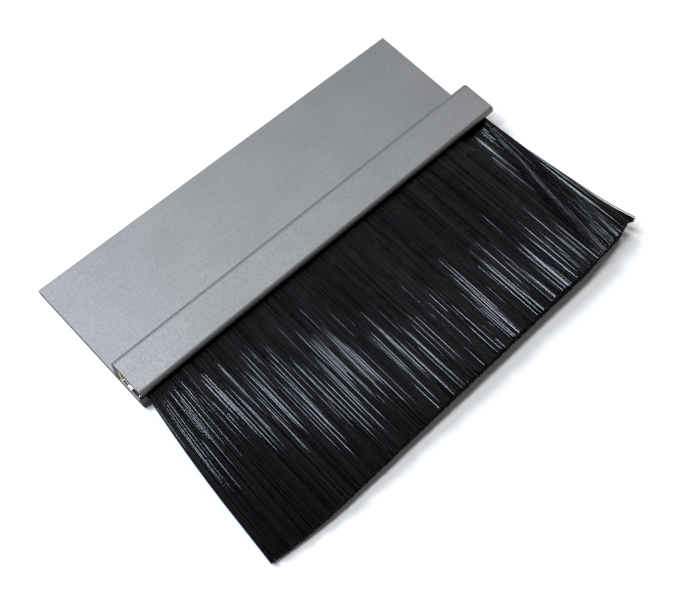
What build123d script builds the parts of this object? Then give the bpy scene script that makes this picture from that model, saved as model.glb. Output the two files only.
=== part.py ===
from build123d import *
import os

# A brush door sweep, in millimetres. An extruded aluminium carrier has a flat flange that is
# fixed to the door and a pocket that holds a strip brush. The strip brush is a folded steel
# channel, crimped on nylon filaments that are doubled over a core wire.
#
# The origin is the centre of the carrier's flat back face. +X runs along the sweep, +Y points
# from the pocket to the flange's free edge, and +Z points out of the front face.

# Carrier: lengths along X, heights along Y, thicknesses along Z
LENGTH = 152.4
FLANGE_HEIGHT = 38.1
POCKET_HEIGHT = 14.0
THICKNESS = 12.7
FLANGE_THICKNESS = 2.4
FRONT_WALL = 2.1
END_WALL = 1.8
LIP_DEPTH = 2.3
LIP_OVERHANG = 0.55
BACK_LEG_SHORTER = 0.5
SHOULDER_RADIUS = 2.0
LIP_RADIUS = 1.5
BACK_RADIUS = 0.8
FLANGE_EDGE_RADIUS = 0.3
INNER_LIP_RADIUS = 0.5
SHOULDER_ROOT_RADIUS = 0.4

# Strip brush
STRIP_LENGTH = 150.0
STRIP_RECESS = 0.4
CHANNEL_WIDTH = 7.94
CHANNEL_DEPTH = 9.5
CHANNEL_WALL = 0.8
CHANNEL_CORNER_RADIUS = 1.6
CRIMP_DEPTH = 4.0
CRIMP_INSET = 0.27
CHANNEL_CLEARANCE = 0.1
WIRE_DIAMETER = 2.4
PACK_CLEARANCE = 0.03

# Bristles: a wedge that starts as a round root in the carrier's mouth and ends at the trimmed tips
SECTION_COUNT = 6
SECTION_GAP = 0.2
ROOT_LEFT = -74.3
ROOT_RIGHT = 73.6
TIP_LEFT = -79.2
TIP_RIGHT = 81.0
BRISTLE_REACH = 61.0
ROOT_RADIUS = 2.8
TIP_THICKNESS = 9.5
HINGE_STANDOFF = 0.8
SEAT_CLEARANCE = 0.3

# Places worked out from the sizes
TOP_Y = (FLANGE_HEIGHT + POCKET_HEIGHT) / 2
MOUTH_Y = -TOP_Y
SHOULDER_Y = MOUTH_Y + POCKET_HEIGHT
CAVITY_TOP_Y = SHOULDER_Y - END_WALL
CAVITY_BOTTOM_Y = MOUTH_Y + LIP_DEPTH
CAVITY_BACK_Z = FLANGE_THICKNESS
CAVITY_FRONT_Z = THICKNESS - FRONT_WALL
MID_Z = (CAVITY_BACK_Z + CAVITY_FRONT_Z) / 2
WEB_Y = CAVITY_TOP_Y - CHANNEL_CLEARANCE
CHANNEL_MOUTH_Y = WEB_Y - CHANNEL_DEPTH
STRIP_LEFT = -LENGTH / 2 + STRIP_RECESS
INNER_HALF_WIDTH = CHANNEL_WIDTH / 2 - CHANNEL_WALL
WIRE_Y = WEB_Y - CHANNEL_WALL - INNER_HALF_WIDTH
HINGE_Y = MOUTH_Y - HINGE_STANDOFF
TIP_Y = MOUTH_Y - BRISTLE_REACH
SECTION_WIDTH = (ROOT_RIGHT - ROOT_LEFT) / SECTION_COUNT


def along_x(profile, x_start, x_end):
    """Extrude a profile drawn with Y across and Z up from x_start to x_end."""
    return Pos(x_start, 0, 0) * extrude(Plane.YZ * profile, amount=x_end - x_start)


def block(y_low, y_high, z_low, z_high):
    """A rectangle in the profile, given by its limits."""
    return Pos((y_low + y_high) / 2, (z_low + z_high) / 2) * Rectangle(y_high - y_low, z_high - z_low)


def corners(profile, *places):
    """The profile's corners at the given (y, z) places."""
    return [v for v in profile.vertices() for y, z in places if abs(v.X - y) + abs(v.Y - z) < 1e-4]


def carrier_profile():
    """Flange and pocket in one section, with a mouth between two short lips."""
    back_leg_y = MOUTH_Y + BACK_LEG_SHORTER
    mouth_low = CAVITY_BACK_Z + LIP_OVERHANG
    mouth_high = CAVITY_FRONT_Z - LIP_OVERHANG
    below = MOUTH_Y - LIP_DEPTH
    profile = block(MOUTH_Y, TOP_Y, 0, FLANGE_THICKNESS)
    profile += block(MOUTH_Y, SHOULDER_Y, 0, THICKNESS)
    profile -= block(CAVITY_BOTTOM_Y, CAVITY_TOP_Y, CAVITY_BACK_Z, CAVITY_FRONT_Z)
    profile -= block(below, CAVITY_BOTTOM_Y, mouth_low, mouth_high)
    profile -= block(below, back_leg_y, 0, mouth_high)
    profile = fillet(corners(profile, (SHOULDER_Y, THICKNESS)), SHOULDER_RADIUS)
    profile = fillet(corners(profile, (SHOULDER_Y, FLANGE_THICKNESS)), SHOULDER_ROOT_RADIUS)
    profile = fillet(corners(profile, (MOUTH_Y, THICKNESS)), LIP_RADIUS)
    profile = fillet(corners(profile, (back_leg_y, 0)), BACK_RADIUS)
    profile = fillet(corners(profile, (MOUTH_Y, mouth_high), (back_leg_y, mouth_low)), INNER_LIP_RADIUS)
    profile = fillet(corners(profile, (TOP_Y, 0), (TOP_Y, FLANGE_THICKNESS)), FLANGE_EDGE_RADIUS)
    return profile


def channel_outline(inset):
    """The channel's outer shape, or its inner one with an inset: a round-cornered web and two
    legs whose last few millimetres are crimped inwards."""
    half = CHANNEL_WIDTH / 2 - inset
    top = WEB_Y - inset
    crimp_y = CHANNEL_MOUTH_Y + CRIMP_DEPTH
    legs = [
        (top, MID_Z - half),
        (crimp_y, MID_Z - half),
        (CHANNEL_MOUTH_Y, MID_Z - half + CRIMP_INSET),
        (CHANNEL_MOUTH_Y, MID_Z + half - CRIMP_INSET),
        (crimp_y, MID_Z + half),
        (top, MID_Z + half),
    ]
    outline = make_face(Polyline(*legs, close=True))
    web_corners = corners(outline, legs[0], legs[-1])
    return fillet(web_corners, CHANNEL_CORNER_RADIUS - inset)


def channel_profile():
    """The bent strip of the channel alone."""
    return channel_outline(0) - channel_outline(CHANNEL_WALL)


def wire_profile():
    """The round core wire."""
    return Pos(WIRE_Y, MID_Z) * Circle(WIRE_DIAMETER / 2)


def folds_profile():
    """The doubled-over filaments: they fill the channel round the wire, leave it through the
    mouth and end in a hollow seat for the root of the free bristles."""
    pack = channel_outline(CHANNEL_WALL + PACK_CLEARANCE)
    pack -= Pos(WIRE_Y, MID_Z) * Circle(WIRE_DIAMETER / 2 + PACK_CLEARANCE)
    pack += block(HINGE_Y, CHANNEL_MOUTH_Y, MID_Z - ROOT_RADIUS, MID_Z + ROOT_RADIUS)
    pack -= Pos(HINGE_Y, MID_Z) * Circle(ROOT_RADIUS + SEAT_CLEARANCE)
    return pack


def bristle_profile():
    """The free bristles from the side: a round root about the hinge line, then a wedge that
    thickens to the tips and droops until the lowest tips are level with the carrier's back."""
    wedge = [
        (HINGE_Y, MID_Z - ROOT_RADIUS),
        (HINGE_Y, MID_Z + ROOT_RADIUS),
        (TIP_Y, TIP_THICKNESS),
        (TIP_Y, 0),
    ]
    return make_face(Polyline(*wedge, close=True)) + Pos(HINGE_Y, MID_Z) * Circle(ROOT_RADIUS)


def bristle_footprint(index):
    """One section from the front. The two end sections fan outwards to their tips."""
    left = ROOT_LEFT + index * SECTION_WIDTH + SECTION_GAP / 2
    right = ROOT_LEFT + (index + 1) * SECTION_WIDTH - SECTION_GAP / 2
    tip_left = left
    tip_right = right
    if index == 0:
        left = ROOT_LEFT
        tip_left = TIP_LEFT
    if index == SECTION_COUNT - 1:
        right = ROOT_RIGHT
        tip_right = TIP_RIGHT
    root_y = HINGE_Y + ROOT_RADIUS
    outline = [(left, root_y), (left, HINGE_Y), (tip_left, TIP_Y)]
    outline += [(tip_right, TIP_Y), (right, HINGE_Y), (right, root_y)]
    return make_face(Polyline(*outline, close=True))


def carrier_rail():
    return along_x(carrier_profile(), -LENGTH / 2, LENGTH / 2)


def brush_channel():
    return along_x(channel_profile(), STRIP_LEFT, STRIP_LEFT + STRIP_LENGTH)


def core_wire():
    return along_x(wire_profile(), STRIP_LEFT, STRIP_LEFT + STRIP_LENGTH)


def bristle_folds():
    return along_x(folds_profile(), ROOT_LEFT, ROOT_RIGHT)


def bristle_section(index):
    side = along_x(bristle_profile(), TIP_LEFT, TIP_RIGHT)
    return side & extrude(bristle_footprint(index), amount=THICKNESS)


def main():
    nodes = {
        "carrier_rail": carrier_rail(),
        "brush_channel": brush_channel(),
        "core_wire": core_wire(),
        "bristle_folds": bristle_folds(),
    }
    for index in range(SECTION_COUNT):
        nodes[f"bristle_section_{index + 1}"] = bristle_section(index)
    os.makedirs("parts", exist_ok=True)
    for name, solid in nodes.items():
        export_step(solid, f"parts/{name}.step")
        print(f"{name}: {solid.volume:.0f} mm3")
    print(f"hinge line at y {HINGE_Y:.2f}, z {MID_Z:.2f}; trimmed tips at y {TIP_Y:.2f}")


main()
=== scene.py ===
# %% [markdown]
# # A brush door sweep
# A door sweep closes the gap under a door. This one is a short cut length. It has an extruded
# aluminium carrier, with a flat flange for the screws and a lipped pocket, and a strip brush that
# slides into the pocket. The strip brush is a folded steel channel, a core wire, and black nylon
# filaments that are doubled over the wire and crimped in the channel.
#
# The CAD model is the fixed frame: every piece below is built to its sizes and in its place.

# %% Load the fixed frame
import math

import bmesh
import bpy
import numpy as np
from mathutils import Matrix, Vector


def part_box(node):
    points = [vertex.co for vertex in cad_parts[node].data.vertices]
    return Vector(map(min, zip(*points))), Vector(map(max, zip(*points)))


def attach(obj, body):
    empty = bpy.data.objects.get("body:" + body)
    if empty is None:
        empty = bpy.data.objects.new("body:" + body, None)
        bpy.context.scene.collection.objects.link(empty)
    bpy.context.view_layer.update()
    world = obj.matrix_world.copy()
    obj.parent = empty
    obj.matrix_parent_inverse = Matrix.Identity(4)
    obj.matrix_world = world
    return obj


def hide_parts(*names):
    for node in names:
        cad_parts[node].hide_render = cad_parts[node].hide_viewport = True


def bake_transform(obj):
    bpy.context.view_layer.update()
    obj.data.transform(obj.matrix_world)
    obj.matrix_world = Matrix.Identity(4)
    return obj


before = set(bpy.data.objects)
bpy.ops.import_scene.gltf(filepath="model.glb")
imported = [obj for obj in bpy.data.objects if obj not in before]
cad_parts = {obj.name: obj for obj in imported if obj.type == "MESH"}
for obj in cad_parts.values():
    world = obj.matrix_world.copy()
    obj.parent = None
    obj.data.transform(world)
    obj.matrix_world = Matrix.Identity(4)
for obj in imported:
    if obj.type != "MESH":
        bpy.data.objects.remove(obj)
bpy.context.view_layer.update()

MM = 0.001

# %% [markdown]
# ## From a mesh under construction to an object
# A bmesh is a mesh under construction. Each piece starts as a few vertices or one operator's shape,
# other operators finish it, and `finish_piece` turns it into an object that sits at the origin with
# its place in its mesh. Smooth shading with an angle limit keeps the round parts round and the cut
# edges sharp.

# %% Finish a piece
def finish_piece(name, bm, materials, smooth_angle=35):
    """Write a bmesh into a new object at the origin."""
    mesh = bpy.data.meshes.new(name)
    bmesh.ops.recalc_face_normals(bm, faces=bm.faces[:])
    bm.to_mesh(mesh)
    bm.free()
    return place_piece(name, mesh, materials, smooth_angle)


def place_piece(name, mesh, materials, smooth_angle):
    """Put a finished mesh in the scene with its materials and its shading."""
    mesh.name = name
    for material in materials:
        mesh.materials.append(material)
    mesh.shade_smooth()
    mesh.set_sharp_from_angle(angle=math.radians(smooth_angle))
    piece = bpy.data.objects.new(name, mesh)
    bpy.context.scene.collection.objects.link(piece)
    print(f"{name}: {len(mesh.vertices)} vertices, {len(mesh.polygons)} faces")
    return piece


def stand_in_for(piece, node, body):
    """The piece takes a CAD node's place: its body."""
    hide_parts(node)
    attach(piece, body)


# %% [markdown]
# ## Profiles that are extruded
# The carrier is squeezed through a die, and the channel is bent from flat strip, so both have one
# section all the way along. Their section is drawn as a closed outline of corners, each corner is
# bevelled into an arc, and the face is extruded along X. Drawing corners and radii, and not a list
# of points round the arcs, is how the die's own drawing gives the shape.

# %% Outline, arcs and extrusion
def round_corner(bm, corner, radius, segments):
    """Turn one corner of a flat outline into an arc."""
    bmesh.ops.bevel(
        bm, geom=[corner], offset=radius, offset_type="OFFSET", segments=segments,
        profile=0.5, affect="VERTICES", clamp_overlap=False, material=-1,
    )


def extrude_outline(outline, x_start, x_end):
    """A bmesh: a closed outline of (y, z, radius, segments) corners, extruded along X."""
    bm = bmesh.new()
    corners = [bm.verts.new((x_start, y, z)) for y, z, radius, segments in outline]
    bm.faces.new(corners)
    for corner, (y, z, radius, segments) in zip(corners, outline):
        if radius:
            round_corner(bm, corner, radius, segments)
    walls = bmesh.ops.extrude_face_region(bm, geom=bm.faces[:])
    moved = [v for v in walls["geom"] if isinstance(v, bmesh.types.BMVert)]
    bmesh.ops.translate(bm, verts=moved, vec=(x_end - x_start, 0, 0))
    return bm


RIM_ANGLE = 1.4
SAME_PLACE = 0.001 * MM


def ease_ends(bm, width):
    """Take the burr off both sawn ends with a small round bevel along their rims."""
    sharp = [e for e in bm.edges if e.calc_face_angle(0) > RIM_ANGLE]
    rims = [e for e in sharp if abs(e.verts[0].co.x - e.verts[1].co.x) < SAME_PLACE]
    bmesh.ops.bevel(
        bm, geom=rims, offset=width, offset_type="OFFSET", segments=2,
        profile=0.5, affect="EDGES", clamp_overlap=True, material=-1,
    )


# %% [markdown]
# ## Colours and shader nodes
# Colours are written as the sRGB hex values that a paint chart would give. Cycles works with linear
# light, so one function converts them. Another adds a shader node with its settings and its links,
# so that each material reads as a list of what it is made of. Every pattern starts from Object
# coordinates in metres, so a pattern's scale is one over its real size. Two kinds of node are used
# by number. A Map Range node spreads input 0 from between inputs 1 and 2 to between inputs 3 and 4.
# A Mix node blends by input 0: colours are inputs 6 and 7 and output 2, numbers 2 and 3 and output 0.

# %% Helpers for materials
def colour(hex_code):
    """An sRGB hex colour as linear RGBA."""
    parts = [int(hex_code[i:i + 2], 16) / 255 for i in (1, 3, 5)]
    linear = [c / 12.92 if c <= 0.04045 else ((c + 0.055) / 1.055) ** 2.4 for c in parts]
    return (*linear, 1.0)


def add_node(tree, kind, inputs=None, **settings):
    """Add a node, set its properties, and set or link its inputs by name or number."""
    node = tree.nodes.new(kind)
    for name, value in settings.items():
        setattr(node, name, value)
    for name, value in (inputs or {}).items():
        if isinstance(value, bpy.types.NodeSocket):
            tree.links.new(value, node.inputs[name])
        else:
            node.inputs[name].default_value = value
    return node


def start_material(name):
    """A new material with a Principled shader, and its Object coordinates."""
    material = bpy.data.materials.new(name)
    material.use_nodes = True
    tree = material.node_tree
    tree.nodes.clear()
    shader = add_node(tree, "ShaderNodeBsdfPrincipled")
    add_node(tree, "ShaderNodeOutputMaterial", {"Surface": shader.outputs["BSDF"]})
    place = add_node(tree, "ShaderNodeTexCoord").outputs["Object"]
    print("material:", name)
    return material, tree, shader, place


def layer_colours(tree, base, layers):
    """Lay colours over a base. A layer is a pattern, the low and high values between which it comes
    in, how much of it shows at most, and its colour."""
    for pattern, low, high, share, tone in layers:
        cover = add_node(tree, "ShaderNodeMapRange", {0: pattern, 1: low, 2: high, 3: 0.0, 4: share})
        inputs = {0: cover.outputs[0], 6: base, 7: tone}
        base = add_node(tree, "ShaderNodeMix", inputs, data_type="RGBA").outputs[2]
    return base


# %% [markdown]
# ## Anodised aluminium
# The carrier is an aluminium extrusion that was etched in caustic soda and anodised clear. Etching
# leaves a fine matt grain and softens the die lines that run along the extrusion, and anodising
# keeps a few dark specks where an impurity didn't take the oxide. The grain is really about
# 0.1 mm, which is too fine to show at arm's length, so it is drawn at 0.5 mm.

# %% Etched and anodised surface
ETCH_GRAIN = 0.5 * MM
OXIDE_CLOUD = 14 * MM
DIE_LINE_WIDTH = 0.7 * MM
DIE_LINE_LENGTH = 90 * MM
SPECK_SPACING = 11 * MM
SPECK_SHARE = 0.28


def dark_specks(tree, place):
    """A mask of dots about 0.3 mm across, in about one cell in four."""
    cells = add_node(tree, "ShaderNodeTexVoronoi", {"Vector": place, "Scale": 1 / SPECK_SPACING})
    dot = add_node(
        tree, "ShaderNodeMapRange", {0: cells.outputs["Distance"], 1: 0.010, 2: 0.022, 3: 1.0, 4: 0.0}
    ).outputs[0]
    pick = add_node(tree, "ShaderNodeSeparateColor", {"Color": cells.outputs["Color"]}).outputs["Red"]
    chosen = add_node(tree, "ShaderNodeMath", {0: pick, 1: 1 - SPECK_SHARE}, operation="GREATER_THAN")
    return add_node(tree, "ShaderNodeMath", {0: dot, 1: chosen.outputs[0]}, operation="MULTIPLY").outputs[0]


def etched_oxide(tree, place):
    """The oxide's pale, slightly cool grey, and the grain and die lines that its relief follows."""
    grain = add_node(
        tree, "ShaderNodeTexNoise", {"Vector": place, "Scale": 1 / ETCH_GRAIN, "Detail": 2.0}
    ).outputs["Fac"]
    cloud = add_node(
        tree, "ShaderNodeTexNoise", {"Vector": place, "Scale": 1 / OXIDE_CLOUD, "Detail": 3.0}
    ).outputs["Fac"]
    stretch = add_node(
        tree, "ShaderNodeMapping",
        {"Vector": place, "Scale": (1 / DIE_LINE_LENGTH, 1 / DIE_LINE_WIDTH, 1 / DIE_LINE_WIDTH)},
    ).outputs["Vector"]
    die_lines = add_node(
        tree, "ShaderNodeTexNoise", {"Vector": stretch, "Scale": 1.0, "Detail": 2.0}
    ).outputs["Fac"]
    oxide = layer_colours(tree, colour("#969799"), [
        (cloud, 0.35, 0.65, 1.0, colour("#9B9C9E")),
        (grain, 0.3, 0.7, 0.30, colour("#77787A")),
        (die_lines, 0.5, 0.75, 0.12, colour("#797A7C")),
        (dark_specks(tree, place), 0.0, 1.0, 1.0, colour("#2E2D2B")),
    ])
    return oxide, grain, die_lines


# %% [markdown]
# ## Sawn ends and painted shade
# The two ends were sawn after anodising, so they are scored by the saw, and they are painted dark
# as shade, for faces turned away from the light. Painted shade also darkens the pocket's mouth,
# under the front lip's round edge. Each is a mask on Object coordinates: the ends by their distance
# from the middle, the mouth's painted shade by its height and depth. Where they cover the metal, it doesn't
# reflect as metal does.

# %% Saw marks and painted shade
SAW_MARK = 0.4 * MM
SAW_MARK_LENGTH = 8 * MM
SAW_TILT = 0.12
# The painted shade in the mouth: its height, its depth under the lip, its fade and its strength, and the
# metallic where painted shade covers the metal.
MOUTH_SHADE_HEIGHT = 2.5 * MM
MOUTH_SHADE_DEPTH = 1.7 * MM
MOUTH_SHADE_FADE = 0.5 * MM
MOUTH_SHADE_STRENGTH = 0.9
SHADED_METALLIC = 0.05


def saw_scores(tree, place):
    """Fine lines across a sawn end, a little tilted."""
    scale = (1.0, 1 / SAW_MARK, 1 / SAW_MARK_LENGTH)
    inputs = {"Vector": place, "Rotation": (SAW_TILT, 0, 0), "Scale": scale}
    score_place = add_node(tree, "ShaderNodeMapping", inputs).outputs["Vector"]
    return add_node(
        tree, "ShaderNodeTexNoise", {"Vector": score_place, "Scale": 1.0, "Detail": 3.0}
    ).outputs["Fac"]


def sawn_ends(tree, axes, half_length):
    """A mask of the last few hundredths of a millimetre at both ends."""
    reach = add_node(tree, "ShaderNodeMath", {0: axes.outputs["X"]}, operation="ABSOLUTE").outputs[0]
    start, full = half_length - 0.08 * MM, half_length - 0.02 * MM
    return add_node(tree, "ShaderNodeMapRange", {0: reach, 1: start, 2: full, 3: 0.0, 4: 1.0}).outputs[0]


def mouth_painted_shade(tree, axes, mouth_y, front_z):
    """A mask of painted shade in the mouth: low enough, under the front lip, and off the flat back."""
    mask = 1.0
    for axis, start, full, low, high in (
        ("Y", mouth_y + MOUTH_SHADE_HEIGHT, mouth_y + MOUTH_SHADE_HEIGHT + MOUTH_SHADE_FADE, 1.0, 0.0),
        ("Z", front_z - MOUTH_SHADE_DEPTH, front_z - MOUTH_SHADE_DEPTH + MOUTH_SHADE_FADE, MOUTH_SHADE_STRENGTH, 0.0),
        ("Z", 0.1 * MM, 0.4 * MM, 0.0, 1.0),
    ):
        inputs = {0: axes.outputs[axis], 1: start, 2: full, 3: low, 4: high}
        limit = add_node(tree, "ShaderNodeMapRange", inputs).outputs[0]
        mask = add_node(tree, "ShaderNodeMath", {0: mask, 1: limit}, operation="MULTIPLY").outputs[0]
    return mask


# %% [markdown]
# ## The aluminium as one material
# The oxide comes first, then the painted shade in the mouth over it, then the sawn ends and their
# painted shade. Grain and die lines make a very shallow relief, and the scores take its place on the ends.

# %% Anodised aluminium
def anodised_aluminium(half_length, mouth_y, front_z):
    material, tree, shader, place = start_material("clear_anodised_etched_aluminium")
    axes = add_node(tree, "ShaderNodeSeparateXYZ", {"Vector": place})
    oxide, grain, die_lines = etched_oxide(tree, place)
    scores = saw_scores(tree, place)
    sawn = sawn_ends(tree, axes, half_length)
    mouth_shade = mouth_painted_shade(tree, axes, mouth_y, front_z)
    # Painted shade: the sawn ends are painted dark, with the saw's scores on them, and so is the mouth
    # under the front lip.
    sawn_end_shade = layer_colours(tree, colour("#24231F"), [(scores, 0.35, 0.65, 1.0, colour("#4A4842"))])
    surface = layer_colours(tree, oxide, [
        (mouth_shade, 0.0, 1.0, 1.0, colour("#1C1C1A")),
        (sawn, 0.0, 1.0, 1.0, sawn_end_shade),
    ])
    tree.links.new(surface, shader.inputs["Base Color"])

    shade_cover = add_node(tree, "ShaderNodeMath", {0: sawn, 1: mouth_shade}, operation="MAXIMUM").outputs[0]
    metallic = add_node(
        tree, "ShaderNodeMapRange", {0: shade_cover, 1: 0.0, 2: 1.0, 3: 1.0, 4: SHADED_METALLIC}
    )
    tree.links.new(metallic.outputs[0], shader.inputs["Metallic"])
    matt = add_node(tree, "ShaderNodeMapRange", {0: grain, 1: 0.3, 2: 0.7, 3: 0.56, 4: 0.66}).outputs[0]
    scored = add_node(tree, "ShaderNodeMapRange", {0: scores, 1: 0.3, 2: 0.7, 3: 0.80, 4: 0.95}).outputs[0]
    roughness = add_node(tree, "ShaderNodeMix", {0: shade_cover, 2: matt, 3: scored}, data_type="FLOAT")
    tree.links.new(roughness.outputs[0], shader.inputs["Roughness"])

    relief = add_node(
        tree, "ShaderNodeMath", {0: die_lines, 1: 0.5, 2: grain}, operation="MULTIPLY_ADD"
    ).outputs[0]
    height = add_node(
        tree, "ShaderNodeMix", {0: sawn, 2: relief, 3: scores}, data_type="FLOAT"
    ).outputs[0]
    bump = add_node(tree, "ShaderNodeBump", {"Height": height, "Strength": 0.25, "Distance": 0.05 * MM})
    tree.links.new(bump.outputs["Normal"], shader.inputs["Normal"])
    return material


# %% [markdown]
# ## Carrier
# The carrier is one extrusion. The flange is flat and 2.4 mm thick, and the pocket is a box with a
# mouth between two short lips. The outline below has the same corners and radii as the CAD section,
# with more segments in each arc, because the light runs along the lip's round edge. The ends are
# sawn, then lightly deburred.

# %% Carrier sizes
FLANGE_THICKNESS = 2.4 * MM
POCKET_HEIGHT = 14.0 * MM
END_WALL = 1.8 * MM
FRONT_WALL = 2.1 * MM
LIP_DEPTH = 2.3 * MM
LIP_OVERHANG = 0.55 * MM
BACK_LEG_SHORTER = 0.5 * MM
SHOULDER_RADIUS = 2.0 * MM
SHOULDER_ROOT_RADIUS = 0.4 * MM
LIP_RADIUS = 1.5 * MM
INNER_LIP_RADIUS = 0.5 * MM
BACK_RADIUS = 0.8 * MM
FLANGE_EDGE_RADIUS = 0.3 * MM
CAVITY_RADIUS = 0.3 * MM
DEBURR = 0.12 * MM

rail_low, rail_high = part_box("carrier_rail")
mouth_y, top_y, front_z = rail_low.y, rail_high.y, rail_high.z
shoulder_y = mouth_y + POCKET_HEIGHT
print(f"carrier {(rail_high.x - rail_low.x) / MM:.1f} mm long, mouth at y {mouth_y / MM:.2f} mm")


# %% Carrier outline
def carrier_outline():
    """The section's corners as (y, z, radius, segments), once round from the flange's free edge."""
    cavity_top = shoulder_y - END_WALL
    cavity_bottom = mouth_y + LIP_DEPTH
    cavity_front = front_z - FRONT_WALL
    mouth_back = FLANGE_THICKNESS + LIP_OVERHANG
    mouth_front = cavity_front - LIP_OVERHANG
    leg_y = mouth_y + BACK_LEG_SHORTER
    return [
        (top_y, 0, FLANGE_EDGE_RADIUS, 8),
        (top_y, FLANGE_THICKNESS, FLANGE_EDGE_RADIUS, 8),
        (shoulder_y, FLANGE_THICKNESS, SHOULDER_ROOT_RADIUS, 8),
        (shoulder_y, front_z, SHOULDER_RADIUS, 14),
        (mouth_y, front_z, LIP_RADIUS, 16),
        (mouth_y, mouth_front, INNER_LIP_RADIUS, 8),
        (cavity_bottom, mouth_front, 0, 0),
        (cavity_bottom, cavity_front, 0, 0),
        (cavity_top, cavity_front, CAVITY_RADIUS, 3),
        (cavity_top, FLANGE_THICKNESS, CAVITY_RADIUS, 3),
        (cavity_bottom, FLANGE_THICKNESS, 0, 0),
        (cavity_bottom, mouth_back, 0, 0),
        (leg_y, mouth_back, INNER_LIP_RADIUS, 8),
        (leg_y, 0, BACK_RADIUS, 8),
    ]


carrier_mesh = extrude_outline(carrier_outline(), rail_low.x, rail_high.x)
ease_ends(carrier_mesh, DEBURR)
print(f"carrier section: {len(carrier_outline())} corners, {len(carrier_mesh.faces)} faces with its arcs")

# %% [markdown]
# ## Knocks
# A cut length that lies about gets its corners knocked. Each knock is modelled as the bite of a
# small ball out of an edge, with a Boolean modifier, so it shows from all sides and catches light.

# %% Knocks in the edges
# Each ball's centre and radius, as (x, y, z, radius).
KNOCKS = [
    (rail_high.x, mouth_y + 2.7 * MM, front_z + 0.10 * MM, 0.42 * MM),
    (rail_high.x + 0.1 * MM, mouth_y + 4.3 * MM, front_z + 0.10 * MM, 0.28 * MM),
    (rail_high.x + 0.1 * MM, 6.1 * MM, FLANGE_THICKNESS + 0.05 * MM, 0.40 * MM),
    (rail_low.x - 0.1 * MM, mouth_y + 1.9 * MM, front_z, 0.30 * MM),
    (31 * MM, top_y + 0.12 * MM, FLANGE_THICKNESS, 0.32 * MM),
]


def knock(bm, knocks):
    """Cut the balls out of the bmesh's piece with a Boolean modifier, and give its mesh."""
    balls = bmesh.new()
    for x, y, z, radius in knocks:
        place = Matrix.Translation((x, y, z))
        bmesh.ops.create_icosphere(balls, subdivisions=2, radius=radius, matrix=place)
    pair = []
    for name, shape in (("knocked", bm), ("balls", balls)):
        mesh = bpy.data.meshes.new(name)
        bmesh.ops.recalc_face_normals(shape, faces=shape.faces[:])
        shape.to_mesh(mesh)
        shape.free()
        pair.append(bpy.data.objects.new(name, mesh))
        bpy.context.scene.collection.objects.link(pair[-1])
    cut = pair[0].modifiers.new("knocks", "BOOLEAN")
    cut.operation = "DIFFERENCE"
    cut.solver = "EXACT"
    cut.object = pair[1]
    graph = bpy.context.evaluated_depsgraph_get()
    result = bpy.data.meshes.new_from_object(pair[0].evaluated_get(graph))
    for piece in pair:
        bpy.data.objects.remove(piece)
    print(f"{len(knocks)} knocks cut")
    return result


# %% Carrier piece
aluminium = anodised_aluminium(rail_high.x, mouth_y, front_z)
carrier = place_piece("carrier", knock(carrier_mesh, KNOCKS), [aluminium], smooth_angle=14)
stand_in_for(carrier, "carrier_rail", "carrier")

# %% [markdown]
# ## Galvanised steel
# The channel is bent from hot-dip galvanised strip. Zinc freezes in crystals a few millimetres
# across, called spangle, and each reflects a little differently. A chromate bath leaves a thin
# yellow tint, and the rollers that bend the strip leave fine scratches along it. The last millimetre
# at each cut end is painted dark as shade, with painted glints in a few bright patches.

# %% Spangle and roller scratches
SPANGLE = 2.6 * MM
ROLLER_SCRATCH_WIDTH = 0.25 * MM
ROLLER_SCRATCH_LENGTH = 30 * MM


def zinc_strip(tree, place):
    """The tinted zinc, the crystals and the scratches."""
    cells = add_node(tree, "ShaderNodeTexVoronoi", {"Vector": place, "Scale": 1 / SPANGLE})
    crystal = add_node(tree, "ShaderNodeSeparateColor", {"Color": cells.outputs["Color"]}).outputs["Green"]
    scale = (1 / ROLLER_SCRATCH_LENGTH, 1 / ROLLER_SCRATCH_WIDTH, 1 / ROLLER_SCRATCH_WIDTH)
    stretch = add_node(tree, "ShaderNodeMapping", {"Vector": place, "Scale": scale}).outputs["Vector"]
    scratches = add_node(
        tree, "ShaderNodeTexNoise", {"Vector": stretch, "Scale": 1.0, "Detail": 3.0}
    ).outputs["Fac"]
    zinc = layer_colours(tree, colour("#B9AC87"), [
        (crystal, 0.0, 1.0, 1.0, colour("#D8CCA6")),
        (scratches, 0.55, 0.75, 0.4, colour("#E9E2CC")),
    ])
    return zinc, crystal, scratches


# %% Painted shade and painted glints at the cut ends
# Painted shade on the last millimetre of each cut end, and painted glints in patches along it.
END_SHADE_LENGTH = 1.4 * MM
END_SHADE_FADE = 0.2 * MM
GLINT_PATCH = 0.7 * MM
GLINT_STEP = 4.4 * MM
FIRST_GLINT = 18.8 * MM
GLINT_FALLOFF = 5 * MM
END_ROUGHNESS = 0.95


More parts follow.
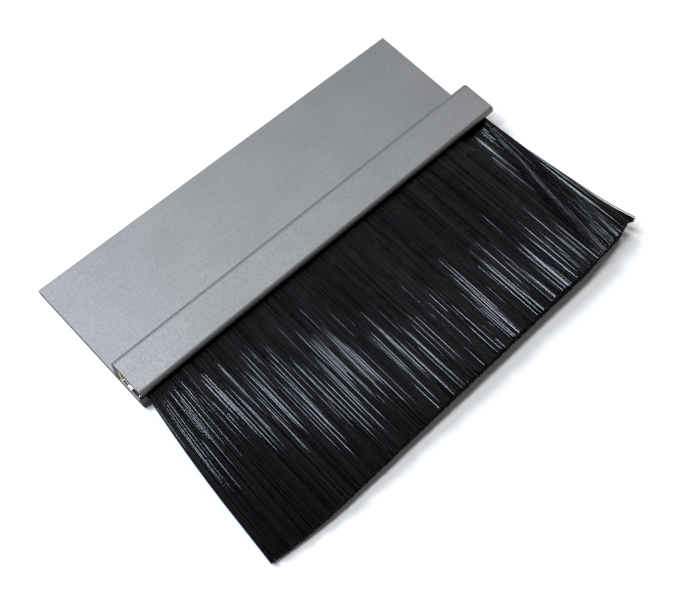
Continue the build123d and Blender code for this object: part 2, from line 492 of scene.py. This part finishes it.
def painted_glint_patches(tree, place, axes):
    """Painted glints: patches that repeat along Y and grow scarcer towards the strip's mouth."""
    patches = add_node(
        tree, "ShaderNodeTexNoise", {"Vector": place, "Scale": 1 / GLINT_PATCH, "Detail": 1.0}
    ).outputs["Fac"]
    turns = 2 * math.pi / GLINT_STEP
    glint_phase = add_node(
        tree, "ShaderNodeMath", {0: axes.outputs["Y"], 1: turns, 2: FIRST_GLINT * turns},
        operation="MULTIPLY_ADD",
    ).outputs[0]
    wave = add_node(tree, "ShaderNodeMath", {0: glint_phase}, operation="COSINE").outputs[0]
    scarcer_glints = add_node(
        tree, "ShaderNodeMath", {0: axes.outputs["Y"], 1: 1 / GLINT_FALLOFF, 2: wave},
        operation="MULTIPLY_ADD",
    ).outputs[0]
    ragged = add_node(
        tree, "ShaderNodeMath", {0: patches, 1: 3.0, 2: scarcer_glints}, operation="MULTIPLY_ADD"
    ).outputs[0]
    return add_node(tree, "ShaderNodeMapRange", {0: ragged, 1: -1.95, 2: -1.7, 3: 0.0, 4: 1.0}).outputs[0]


def shaded_strip_ends(tree, axes, cut_from, cut_to):
    """A mask of the painted shade on the last millimetre at both ends of the strip."""
    middle, half = (cut_from + cut_to) / 2, (cut_to - cut_from) / 2
    offset = add_node(tree, "ShaderNodeMath", {0: axes.outputs["X"], 1: middle}, operation="SUBTRACT")
    reach = add_node(tree, "ShaderNodeMath", {0: offset.outputs[0]}, operation="ABSOLUTE").outputs[0]
    start = half - END_SHADE_LENGTH
    inputs = {0: reach, 1: start, 2: start + END_SHADE_FADE, 3: 0.0, 4: 1.0}
    return add_node(tree, "ShaderNodeMapRange", inputs).outputs[0]


# %% Galvanised steel
def galvanised_steel(cut_from, cut_to):
    material, tree, shader, place = start_material("galvanised_steel_strip")
    axes = add_node(tree, "ShaderNodeSeparateXYZ", {"Vector": place})
    zinc, crystal, scratches = zinc_strip(tree, place)
    painted_glints = painted_glint_patches(tree, place, axes)
    shaded_end = shaded_strip_ends(tree, axes, cut_from, cut_to)
    # Painted shade on the cut ends, with painted glints in the bright patches.
    shade_and_glints = layer_colours(tree, colour("#14120D"), [(painted_glints, 0.0, 1.0, 1.0, colour("#E6D9B4"))])
    surface = layer_colours(tree, zinc, [(shaded_end, 0.0, 1.0, 1.0, shade_and_glints)])
    tree.links.new(surface, shader.inputs["Base Color"])

    # Where painted shade covers the steel, it doesn't reflect as metal does.
    dull = add_node(
        tree, "ShaderNodeMath", {0: shaded_end, 1: painted_glints}, operation="SUBTRACT", use_clamp=True
    ).outputs[0]
    metallic = add_node(
        tree, "ShaderNodeMapRange", {0: dull, 1: 0.0, 2: 1.0, 3: 1.0, 4: SHADED_METALLIC}
    )
    tree.links.new(metallic.outputs[0], shader.inputs["Metallic"])
    bright = add_node(tree, "ShaderNodeMapRange", {0: crystal, 1: 0.0, 2: 1.0, 3: 0.26, 4: 0.42}).outputs[0]
    roughness = add_node(tree, "ShaderNodeMix", {0: dull, 2: bright, 3: END_ROUGHNESS}, data_type="FLOAT")
    tree.links.new(roughness.outputs[0], shader.inputs["Roughness"])
    bump = add_node(tree, "ShaderNodeBump", {"Height": scratches, "Strength": 0.2, "Distance": 0.03 * MM})
    tree.links.new(bump.outputs["Normal"], shader.inputs["Normal"])
    return material


# %% [markdown]
# ## Channel
# The channel is a U of 0.8 mm strip. Its web sits against the pocket's end wall, and its two legs
# are crimped inwards over their last 4 mm, which grips the folded filaments. Like the carrier, it
# is an outline with bent corners that is extruded along X.

# %% Channel sizes and piece
CHANNEL_WALL = 0.8 * MM
CHANNEL_CORNER = 1.6 * MM
CRIMP_DEPTH = 4.0 * MM
CRIMP_INSET = 0.27 * MM
CRIMP_BEND = 2.0 * MM
CHANNEL_DEBURR = 0.06 * MM

channel_low, channel_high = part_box("brush_channel")
mid_z = (channel_low.z + channel_high.z) / 2


def channel_outline():
    """Round the outside of the U and back round its inside."""
    outer = (channel_high.z - channel_low.z) / 2
    inner = outer - CHANNEL_WALL
    web_y = channel_high.y
    crimp_y = channel_low.y + CRIMP_DEPTH
    bend = CHANNEL_CORNER - CHANNEL_WALL
    return [
        (channel_low.y, mid_z - outer + CRIMP_INSET, 0, 0),
        (crimp_y, mid_z - outer, CRIMP_BEND, 4),
        (web_y, mid_z - outer, CHANNEL_CORNER, 8),
        (web_y, mid_z + outer, CHANNEL_CORNER, 8),
        (crimp_y, mid_z + outer, CRIMP_BEND, 4),
        (channel_low.y, mid_z + outer - CRIMP_INSET, 0, 0),
        (channel_low.y, mid_z + inner - CRIMP_INSET, 0, 0),
        (crimp_y, mid_z + inner, CRIMP_BEND, 4),
        (web_y - CHANNEL_WALL, mid_z + inner, bend, 6),
        (web_y - CHANNEL_WALL, mid_z - inner, bend, 6),
        (crimp_y, mid_z - inner, CRIMP_BEND, 4),
        (channel_low.y, mid_z - inner + CRIMP_INSET, 0, 0),
    ]


channel_mesh = extrude_outline(channel_outline(), channel_low.x, channel_high.x)
ease_ends(channel_mesh, CHANNEL_DEBURR)
steel = galvanised_steel(channel_low.x, channel_high.x)
channel = finish_piece("channel", channel_mesh, [steel], smooth_angle=30)
stand_in_for(channel, "brush_channel", "strip_brush")

# %% [markdown]
# ## Core wire
# The core wire is drawn steel. Drawing pulls it through a die, which polishes it and leaves fine
# lines along it, and a film of drawing soap dulls it in patches. Its ends are cropped with a
# cutter, so each has a bevelled rim.

# %% Drawn steel wire
DRAW_LINE_WIDTH = 0.15 * MM
DRAW_LINE_LENGTH = 25 * MM
SOAP_PATCH = 4 * MM
CROPPED_RIM = 0.2 * MM


def drawn_wire():
    material, tree, shader, place = start_material("drawn_steel_wire")
    shader.inputs["Metallic"].default_value = 1.0
    scale = (1 / DRAW_LINE_LENGTH, 1 / DRAW_LINE_WIDTH, 1 / DRAW_LINE_WIDTH)
    stretch = add_node(tree, "ShaderNodeMapping", {"Vector": place, "Scale": scale}).outputs["Vector"]
    lines = add_node(
        tree, "ShaderNodeTexNoise", {"Vector": stretch, "Scale": 1.0, "Detail": 2.0}
    ).outputs["Fac"]
    soap = add_node(
        tree, "ShaderNodeTexNoise", {"Vector": place, "Scale": 1 / SOAP_PATCH, "Detail": 3.0}
    ).outputs["Fac"]
    metal = layer_colours(tree, colour("#8F887A"), [
        (lines, 0.3, 0.7, 1.0, colour("#BDB5A2")),
        (soap, 0.5, 0.7, 0.5, colour("#6E675A")),
    ])
    tree.links.new(metal, shader.inputs["Base Color"])
    dulled = add_node(tree, "ShaderNodeMapRange", {0: soap, 1: 0.35, 2: 0.65, 3: 0.22, 4: 0.4}).outputs[0]
    tree.links.new(dulled, shader.inputs["Roughness"])
    bump = add_node(tree, "ShaderNodeBump", {"Height": lines, "Strength": 0.15, "Distance": 0.02 * MM})
    tree.links.new(bump.outputs["Normal"], shader.inputs["Normal"])
    return material


# %% Core wire piece
wire_low, wire_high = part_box("core_wire")
wire_y = (wire_low.y + wire_high.y) / 2
wire_radius = (wire_high.z - wire_low.z) / 2


def build_wire():
    bm = bmesh.new()
    bmesh.ops.create_cone(
        bm, cap_ends=True, segments=28, radius1=wire_radius, radius2=wire_radius,
        depth=wire_high.x - wire_low.x,
    )
    bmesh.ops.rotate(bm, verts=bm.verts[:], cent=(0, 0, 0), matrix=Matrix.Rotation(math.pi / 2, 3, "Y"))
    centre = ((wire_low.x + wire_high.x) / 2, wire_y, mid_z)
    bmesh.ops.translate(bm, verts=bm.verts[:], vec=centre)
    ease_ends(bm, CROPPED_RIM)
    return bm


wire = finish_piece("wire_core", build_wire(), [drawn_wire()])
stand_in_for(wire, "core_wire", "strip_brush")

# %% [markdown]
# ## Nylon filament
# Each filament is black nylon, melt-spun through a small hole and stretched while it is warm. That
# gives it a smooth, glassy skin that shows a thin bright line where it turns past the light. The
# black is carbon, and it varies a little from filament to filament. Each filament carries its own
# number in a mesh attribute, which the shader reads. About three in four are dusty and scuffed and
# hardly shine, so they get a second, duller nylon, and the clean ones stand out between them.

# %% Black nylon
SCUFF = 3.5 * MM
NYLON_IOR = 1.53
SHADE = "filament_shade"


def black_nylon(name, reflection, tint, gloss_low, gloss_high):
    material, tree, shader, place = start_material(name)
    shader.inputs["IOR"].default_value = NYLON_IOR
    shader.inputs["Specular IOR Level"].default_value = reflection
    shader.inputs["Specular Tint"].default_value = colour(tint)
    shade = add_node(tree, "ShaderNodeAttribute", attribute_name=SHADE).outputs["Fac"]
    scuffs = add_node(
        tree, "ShaderNodeTexNoise", {"Vector": place, "Scale": 1 / SCUFF, "Detail": 2.0}
    ).outputs["Fac"]
    skin = layer_colours(tree, colour("#060607"), [
        (shade, 0.0, 1.0, 1.0, colour("#121215")),
        (scuffs, 0.6, 0.8, 0.35, colour("#26241F")),
    ])
    tree.links.new(skin, shader.inputs["Base Color"])
    scuffed = add_node(tree, "ShaderNodeMapRange", {0: scuffs, 1: 0.5, 2: 0.8, 3: 0.0, 4: 0.06}).outputs[0]
    clean = add_node(
        tree, "ShaderNodeMapRange", {0: shade, 1: 0.0, 2: 1.0, 3: gloss_low, 4: gloss_high}
    ).outputs[0]
    roughness = add_node(tree, "ShaderNodeMath", {0: scuffed, 1: clean}, operation="ADD")
    tree.links.new(roughness.outputs[0], shader.inputs["Roughness"])
    bump = add_node(tree, "ShaderNodeBump", {"Height": scuffs, "Strength": 0.05, "Distance": 0.05 * MM})
    tree.links.new(bump.outputs["Normal"], shader.inputs["Normal"])
    return material


glossy_nylon = black_nylon("melt_spun_black_nylon", 0.7, "#DBE4F6", 0.05, 0.08)
dusty_nylon = black_nylon("dusty_black_nylon", 0.09, "#F4F4F2", 0.20, 0.32)
nylons = [glossy_nylon, dusty_nylon]

# %% [markdown]
# ## Copies that are bent one by one
# There are thousands of filaments, so one low-sided tube is modelled with operators, an Array
# modifier copies it, and numpy then moves the copies' vertices: every filament is the same tube with
# its own root, its own tip and its own slight bow. Five sides are enough, because smooth shading
# rounds them.

# %% Copy a template
FILAMENT_DIAMETER = 0.30 * MM
CLEAN_SHARE = 0.24  # copies whose shade is below this are glossy
rng = np.random.default_rng(20)


def copy_template(bm, count):
    """A mesh with count copies of the bmesh in one place, and their points by copy."""
    mesh = bpy.data.meshes.new("template")
    bm.to_mesh(mesh)
    bm.free()
    template = bpy.data.objects.new("template", mesh)
    bpy.context.scene.collection.objects.link(template)
    array = template.modifiers.new("copies", "ARRAY")
    array.count = count
    array.use_relative_offset = False
    graph = bpy.context.evaluated_depsgraph_get()
    copies = bpy.data.meshes.new_from_object(template.evaluated_get(graph))
    bpy.data.objects.remove(template)
    points = np.empty(len(copies.vertices) * 3)
    copies.vertices.foreach_get("co", points)
    return copies, points.reshape(count, -1, 3)


def write_copies(copies, points, shade):
    """Put the moved points back, with one shade and one nylon for each copy."""
    copies.vertices.foreach_set("co", points.reshape(-1))
    attribute = copies.attributes.new(SHADE, "FLOAT", "POINT")
    attribute.data.foreach_set("value", np.repeat(shade, points.shape[1]))
    dusty = (shade > CLEAN_SHARE).astype(np.int32)
    copies.polygons.foreach_set("material_index", np.repeat(dusty, len(copies.polygons) // len(shade)))
    copies.update()
    print(f"{len(shade)} copies, {int((dusty == 0).sum())} of them glossy")


# %% [markdown]
# ## Folds over the core wire
# Inside the channel the filaments are doubled over the core wire. They show at the strip's two ends
# and when the strip slides out of the carrier. A fold is a ring of vertices that is extruded up one
# leg, spun half round the wire and extruded down the other leg. Four layers of folds lie over each
# other, and below the wire their legs draw together towards the crimped mouth.
#
# A known fault: on the real strip the half turn passes over the wire, next to the web. Here it passes
# on the mouth's side, so each tube doubles back on itself and its faces can't all point outwards.
# Spin turns by the right-hand rule, so an axis of +X would carry it over the wire.

# %% Folded filaments
ROOT_ABOVE_HINGE = 5 * MM
FOLD_PITCH = 0.42 * MM
FOLD_LAYERS = 4
FOLD_FIRST_RADIUS = wire_radius + FILAMENT_DIAMETER / 2 + 0.05 * MM
FOLD_LAST_RADIUS = 2.85 * MM
FOLD_JITTER = 0.04 * MM
FOLD_SPIN_STEPS = 6
LEG_STEPS = 3
INNER_GATHER = 0.25
OUTER_GATHER = 0.90

folds_low, folds_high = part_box("bristle_folds")
root_y = folds_low.y + ROOT_ABOVE_HINGE


def extend_rim(bm, rim, vec, times):
    """Extrude a rim of edges in equal steps, and give the last rim."""
    for _ in range(times):
        grown = bmesh.ops.extrude_edge_only(bm, edges=rim)["geom"]
        moved = [v for v in grown if isinstance(v, bmesh.types.BMVert)]
        bmesh.ops.translate(bm, verts=moved, vec=Vector(vec) / times)
        edges = [e for e in grown if isinstance(e, bmesh.types.BMEdge)]
        rim = [e for e in edges if all(v in moved for v in e.verts)]
    return rim


def one_fold(radius):
    """One filament doubled round the wire at a given radius, at x = 0. See the known fault above."""
    bm = bmesh.new()
    bmesh.ops.create_circle(bm, segments=4, radius=FILAMENT_DIAMETER / 2)
    bmesh.ops.rotate(bm, verts=bm.verts[:], cent=(0, 0, 0), matrix=Matrix.Rotation(math.pi / 2, 3, "X"))
    bmesh.ops.translate(bm, verts=bm.verts[:], vec=(0, root_y, mid_z - radius))
    leg = (0, wire_y - root_y, 0)
    rim = extend_rim(bm, bm.edges[:], leg, LEG_STEPS)
    turned = bmesh.ops.spin(
        bm, geom=rim, cent=(0, wire_y, mid_z), axis=(-1, 0, 0), angle=math.pi, steps=FOLD_SPIN_STEPS
    )["geom_last"]
    rim = [e for e in turned if isinstance(e, bmesh.types.BMEdge)]
    extend_rim(bm, rim, -Vector(leg), LEG_STEPS)
    bmesh.ops.holes_fill(bm, edges=[e for e in bm.edges if e.is_boundary], sides=4)
    bmesh.ops.recalc_face_normals(bm, faces=bm.faces[:])
    return bm


def fold_layer(layer):
    """A layer of folds along the strip, each a little out of line."""
    share = layer / (FOLD_LAYERS - 1)
    radius = FOLD_FIRST_RADIUS + (FOLD_LAST_RADIUS - FOLD_FIRST_RADIUS) * share
    count = int((folds_high.x - folds_low.x - FILAMENT_DIAMETER) / FOLD_PITCH)
    copies, points = copy_template(one_fold(radius), count)
    start = folds_low.x + FILAMENT_DIAMETER / 2 + FOLD_PITCH * (layer % 2) / 2
    x = start + np.arange(count) * FOLD_PITCH + rng.uniform(-FOLD_JITTER, FOLD_JITTER, count)
    points[:, :, 0] += x[:, None]
    below = np.clip((wire_y - points[:, :, 1]) / (wire_y - root_y), 0, 1)
    gather = (INNER_GATHER + (OUTER_GATHER - INNER_GATHER) * share) * FOLD_LAST_RADIUS / radius
    from_mid = points[:, :, 2] - mid_z
    points[:, :, 2] = mid_z + from_mid * (1 + (gather - 1) * below)
    write_copies(copies, points, rng.uniform(0, 1, count))
    return copies


def build_folds():
    bm = bmesh.new()
    for layer in range(FOLD_LAYERS):
        copies = fold_layer(layer)
        bm.from_mesh(copies)
        bpy.data.meshes.remove(copies)
    return bm


folds = finish_piece("filament_folds", build_folds(), nylons, smooth_angle=80)
stand_in_for(folds, "bristle_folds", "strip_brush")

# %% [markdown]
# ## Free bristles
# Past the pocket's mouth the filaments are free. They stay nearly parallel to their trimmed tips,
# but neighbours cling together in small clumps, the end ones fan outwards, and the left end sags
# most, which moves the line where they catch the light. The filaments are split into six pieces,
# one for each section of the CAD model that bends on its own, and each piece takes the place of its
# section's CAD part, which is hidden.

# %% Filament template and sizes
SECTIONS = 6
FILAMENTS_PER_SECTION = 1250
SIDES = 5
STEPS = 9
ROOT_HALF = 2.6 * MM
MOUTH_SHARE = 0.09
LOOSE_END = 0.005
PARTED_FROM = 0.8

section_boxes = [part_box(f"bristle_section_{index + 1}") for index in range(SECTIONS)]
bristle_low = Vector([min(low[i] for low, high in section_boxes) for i in range(3)])
bristle_high = Vector([max(high[i] for low, high in section_boxes) for i in range(3)])
tips = [round(value / MM, 1) for value in (bristle_low.x, bristle_high.x, bristle_low.y)]
print(f"tips from x {tips[0]} to {tips[1]} mm at y {tips[2]} mm")


def one_filament():
    """A closed tube of unit length along Z, cut into steps so that it can bend."""
    bm = bmesh.new()
    radius = FILAMENT_DIAMETER / 2
    bmesh.ops.create_cone(bm, cap_ends=True, segments=SIDES, radius1=radius, radius2=radius, depth=1.0)
    long_edges = [e for e in bm.edges if abs(e.verts[0].co.z - e.verts[1].co.z) > 0.5]
    bmesh.ops.subdivide_edges(bm, edges=long_edges, cuts=STEPS - 1)
    return bm


# %% [markdown]
# ## Roots and tips
# `u` is a filament's share of the way along the strip, from 0 at the left end to 1 at the right, and
# `depth` runs from -1 at the back to 1 at the front. The two ends fan outwards. The upper filaments
# rise more at some places than at others, which moves their bright band up and down, and a smooth
# random wave makes it ragged. At the right end some were brushed aside, so they cross the others.

# %% Random lines, the rise of the upper filaments, and the fans
KNOTS = 4096
FIRST_KNOT = 1000
LEFT_FAN_WIDTH = 0.10
RIGHT_FAN_WIDTH = 0.11


def smooth_noise(points, spacing, seed):
    """A smooth random line: random values at knots, joined by a cosine."""
    knots = np.random.default_rng(seed).normal(size=KNOTS)
    place = points / spacing + FIRST_KNOT
    index = np.floor(place).astype(int)
    share = (1 - np.cos((place - index) * np.pi)) / 2
    return knots[index % KNOTS] * (1 - share) + knots[(index + 1) % KNOTS] * share


def top_slope(u):
    """How far the upper filaments rise for each unit of reach, from the left end to the right."""
    places = [0.0, 0.06, 0.16, 0.27, 0.38, 0.50, 0.70, 0.80, 0.92, 1.0]
    slopes = [-0.10, -0.085, -0.047, -0.020, -0.004, 0.005, 0.018, 0.028, 0.014, -0.012]
    return np.interp(u, places, slopes)


def end_fans(u):
    """How much of its end's fan each filament takes, at the left and at the right."""
    left = np.clip((LEFT_FAN_WIDTH - u) / LEFT_FAN_WIDTH, 0, 1) ** 1.3
    right = np.clip((u - 1 + RIGHT_FAN_WIDTH) / RIGHT_FAN_WIDTH, 0, 1) ** 1.4
    return left, right


# %% Where each filament's root and tip are
EDGE_DEPTH, EDGE_DEPTH_RANGE, EDGE_SHADE = 0.3, 0.1, 0.9
FAN_BULGE, FAN_INSET, FAN_SHORTER = 0.7, 0.4 * MM, 1.8 * MM
CLUMP_SPACING, CLUMP_PULL = 1.3 * MM, 0.13 * MM
TIP_JITTER, TIP_INSET = 0.2 * MM, 0.2 * MM
LOOSEST, LOOSE_UNTIL = 3.5, 0.965
ASIDE_FROM, ASIDE_TO = 0.91, 0.985
ASIDE_DEPTH, ASIDE_PULL, ASIDE_JITTER, ASIDE_SHADE = 0.1, 0.88, 0.03, 0.5
FINE_WAVE, FINE_RISE = 1.5 * MM, 0.006
BROAD_WAVE, BROAD_RISE = 11 * MM, 0.005
SLOPE_JITTER, BELOW_FRONT = 0.015, 0.3 * MM
TUFT_WIDTH, TUFT_STEP = 0.9 * MM, 0.5 * MM
TRIM_SHORT, TRIM_LONG = 0.25 * MM, 0.2 * MM
SPLIT_REACH, SPLIT_FADE = 0.03, 0.022
LEFT_EDGE_SPLIT, LEFT_SPLIT = -0.35 * MM, 0.7 * MM
RIGHT_EDGE_SPLIT, RIGHT_SPLIT = 1.5 * MM, -0.9 * MM
BOW_ACROSS, BOW_UP = 0.08 * MM, 0.12 * MM


def section_layout(index):
    """Each filament's root, tip, bow and shade in one section, by name."""
    count = FILAMENTS_PER_SECTION
    u = (index + (np.arange(count) + rng.uniform(0, 1, count)) / count) / SECTIONS
    depth = rng.uniform(-1, 1, count)
    at_edge = (u < LOOSE_END) | (u > 1 - LOOSE_END)
    depth = np.where(at_edge, EDGE_DEPTH + EDGE_DEPTH_RANGE * depth, depth)
    left_fan, right_fan = end_fans(u)
    loose = 1 + (LOOSEST - 1) * right_fan * (u < LOOSE_UNTIL)
    x_root = folds_low.x + u * (folds_high.x - folds_low.x)
    fan = left_fan * (bristle_low.x - folds_low.x)
    fan += right_fan * (bristle_high.x - FAN_INSET - folds_high.x)
    clump = smooth_noise(x_root, CLUMP_SPACING, seed=3) * CLUMP_PULL
    x_tip = x_root + fan + clump + rng.normal(0, TIP_JITTER, count) * loose
    x_tip = np.clip(x_tip, bristle_low.x, bristle_high.x - TIP_INSET)

    # At the right end the upper filaments were brushed aside: they all leave the mouth by its corner.
    aside = (u > ASIDE_FROM) & (u < ASIDE_TO) & (depth > ASIDE_DEPTH)
    x_root = np.where(aside, x_root + ASIDE_PULL * (folds_high.x - x_root), x_root)

    # The upper filaments' rise, and each tip's share of it by depth. None rises past the pocket.
    wave = smooth_noise(x_root, FINE_WAVE, seed=5) * FINE_RISE
    wave += smooth_noise(x_root, BROAD_WAVE, seed=6) * BROAD_RISE
    slope = top_slope(u) + wave + rng.normal(0, SLOPE_JITTER, count) * loose
    slope += rng.normal(0, ASIDE_JITTER, count) * aside * (u < LOOSE_UNTIL)
    z_top = mid_z + ROOT_HALF + slope * (root_y - bristle_low.y)
    z_top = np.minimum(z_top, front_z - BELOW_FRONT)
    z_tip = FILAMENT_DIAMETER + (z_top - FILAMENT_DIAMETER) * (depth + 1) / 2

    # The tips are trimmed to one line, but a fanned filament doesn't reach as far down.
    tufts = smooth_noise(x_root, TUFT_WIDTH, seed=8) * right_fan * TUFT_STEP
    trim = rng.uniform(-TRIM_LONG, TRIM_SHORT, count)
    y_tip = bristle_low.y + (left_fan + right_fan) * FAN_SHORTER + tufts + trim

    # The outermost filaments at each end cling together and split from the rest near their tips.
    near_left = np.clip((SPLIT_REACH - u) / SPLIT_FADE, 0, 1)
    near_right = np.clip((u - 1 + SPLIT_REACH) / SPLIT_FADE, 0, 1)
    left_split = np.where(u < LOOSE_END, LEFT_EDGE_SPLIT, LEFT_SPLIT * near_left)
    right_split = np.where(u > 1 - LOOSE_END, RIGHT_EDGE_SPLIT, RIGHT_SPLIT * near_right)
    shade = rng.uniform(0, 1, count) * np.where(aside, ASIDE_SHADE, 1)
    return {
        "x_root": x_root,
        "z_root": mid_z + depth * ROOT_HALF,
        "x_tip": x_tip,
        "y_tip": y_tip,
        "z_tip": z_tip,
        "bulge": FAN_BULGE * (left_fan > 0),
        "split": left_split + right_split,
        "shade": np.where(u > ASIDE_TO, EDGE_SHADE, shade),
        "bow_x": rng.normal(0, BOW_ACROSS, count) * loose,
        "bow_z": rng.normal(0, BOW_UP, count),
    }


# %% [markdown]
# ## Bending the copies
# Every copy is a straight tube of unit length, and a point's height in it says how far along its
# filament it is. That number places the point between root and tip, adds the bow, which is greatest
# half-way, and parts the outermost tips. The stretch inside the pocket's mouth stays level.

# %% Bend the copies into place
def filament_section(index):
    copies, points = copy_template(one_filament(), FILAMENTS_PER_SECTION)
    at = {name: values[:, None] for name, values in section_layout(index).items()}
    along = points[:, :, 2] + 0.5
    free = np.clip((along - MOUTH_SHARE) / (1 - MOUTH_SHARE), 0, 1)
    arch = np.sin(np.pi * free)
    parted = np.clip((along - PARTED_FROM) / (1 - PARTED_FROM), 0, 1) ** 1.5
    spread = free + at["bulge"] * free * (1 - free)
    across, up = points[:, :, 0].copy(), points[:, :, 1].copy()
    line = at["x_root"] + (at["x_tip"] - at["x_root"]) * spread
    points[:, :, 0] = line + at["bow_x"] * arch + at["split"] * parted + across
    points[:, :, 1] = root_y + (at["y_tip"] - root_y) * along
    points[:, :, 2] = at["z_root"] + (at["z_tip"] - at["z_root"]) * free + at["bow_z"] * arch + up
    write_copies(copies, points, at["shade"][:, 0])
    return place_piece(f"filaments_{index + 1}", copies, nylons, smooth_angle=80)


for index in range(SECTIONS):
    piece = filament_section(index)
    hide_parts(f"bristle_section_{index + 1}")
    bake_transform(piece)

# %% [markdown]
# ## Floor
# The sweep lies on its flat back on white card. The card is matt and nearly featureless, with only
# a breath of paper grain.

# %% White card
CARD_HALF_WIDTH = 1.5
CARD_GAP = 0.05 * MM
PAPER_GRAIN = 1.5 * MM


def white_card():
    material, tree, shader, place = start_material("matt_white_card")
    grain = add_node(
        tree, "ShaderNodeTexNoise", {"Vector": place, "Scale": 1 / PAPER_GRAIN, "Detail": 2.0}
    ).outputs["Fac"]
    card = layer_colours(tree, colour("#F6F6F5"), [(grain, 0.0, 1.0, 1.0, colour("#FAFAF9"))])
    tree.links.new(card, shader.inputs["Base Color"])
    shader.inputs["Roughness"].default_value = 0.9
    return material


def build_card():
    bm = bmesh.new()
    bmesh.ops.create_grid(bm, x_segments=1, y_segments=1, size=CARD_HALF_WIDTH)
    bmesh.ops.translate(bm, verts=bm.verts[:], vec=(0, 0, -CARD_GAP))
    return finish_piece("card", bm, [white_card()])


build_card()

# %% [markdown]
# ## Lights
# A glossy filament shows a light only where the half-way direction between the light and the eye is
# square to it. Three short tubes stand in a row above the bristles, and draw their band of thin
# bright lines. A larger soft box stands past the flange on the left, too far round to show in the
# bristles. It makes the matt metal pale, a little brighter at the left end, and lets the lip's round
# edge fall off to black.

# %% Studio
LIGHT_AIM = Vector((0, -30, 0)) * MM
LIGHT_DISTANCE = 1.5
TUBE = (0.5, 0.12)
SOFT_BOX = (0.5, 0.4)
ROOM_LIGHT = 0.14


def area_light(name, direction, size, power, tint):
    """A rectangular light: its first size runs across the sweep's length, its second along Y."""
    data = bpy.data.lights.new(name, "AREA")
    data.shape = "RECTANGLE"
    data.size, data.size_y = size
    data.energy = power
    data.color = colour(tint)[:3]
    light = bpy.data.objects.new(name, data)
    backward = Vector(direction).normalized()
    side = Vector((0, 1, 0)).cross(backward).normalized()
    turn = Matrix((side, backward.cross(side), backward)).transposed()
    light.matrix_world = Matrix.Translation(LIGHT_AIM + backward * LIGHT_DISTANCE) @ turn.to_4x4()
    bpy.context.scene.collection.objects.link(light)
    print(f"{name}: {power} W")


area_light("tube_left", (-0.57, 0.17, 0.81), TUBE, 7.6, "#EEF3FF")
area_light("tube_middle", (-0.17, 0.17, 0.97), TUBE, 4.5, "#F2F6FF")
area_light("tube_right", (0.34, 0.17, 0.93), TUBE, 4.2, "#FFFDF1")
area_light("soft_box", (-0.32, 0.52, 0.80), SOFT_BOX, 17.4, "#EDF3FC")

world = bpy.data.worlds.new("studio")
world.use_nodes = True
world.node_tree.nodes["Background"].inputs["Color"].default_value = colour("#FFFFFF")
world.node_tree.nodes["Background"].inputs["Strength"].default_value = ROOM_LIGHT
bpy.context.scene.world = world

# %% [markdown]
# ## Camera
# The camera looks down at the sweep's front from beyond its lower left end, from about a third of a
# metre away, with no shift and no depth of field. The Standard view transform keeps the white card
# white.

# %% Camera
EYE = Vector((-113.42, -123.86, 277.09)) * MM
AIM = Vector((-8.85, -38.60, 0)) * MM
UP = Vector((0.6074, 0.6654, 0.4340))
LENS = 51.69
SENSOR_WIDTH = 36
backward = (EYE - AIM).normalized()
right = UP.cross(backward).normalized()
camera_data = bpy.data.cameras.new("camera")
camera_data.lens = LENS
camera_data.sensor_width = SENSOR_WIDTH
camera_data.clip_start = 0.01
camera = bpy.data.objects.new("camera", camera_data)
turn = Matrix((right, backward.cross(right), backward)).transposed()
camera.matrix_world = Matrix.Translation(EYE) @ turn.to_4x4()
bpy.context.scene.collection.objects.link(camera)
bpy.context.scene.camera = camera
bpy.context.scene.view_settings.view_transform = "Standard"
print(f"camera {(EYE - AIM).length:.3f} m from its aim")
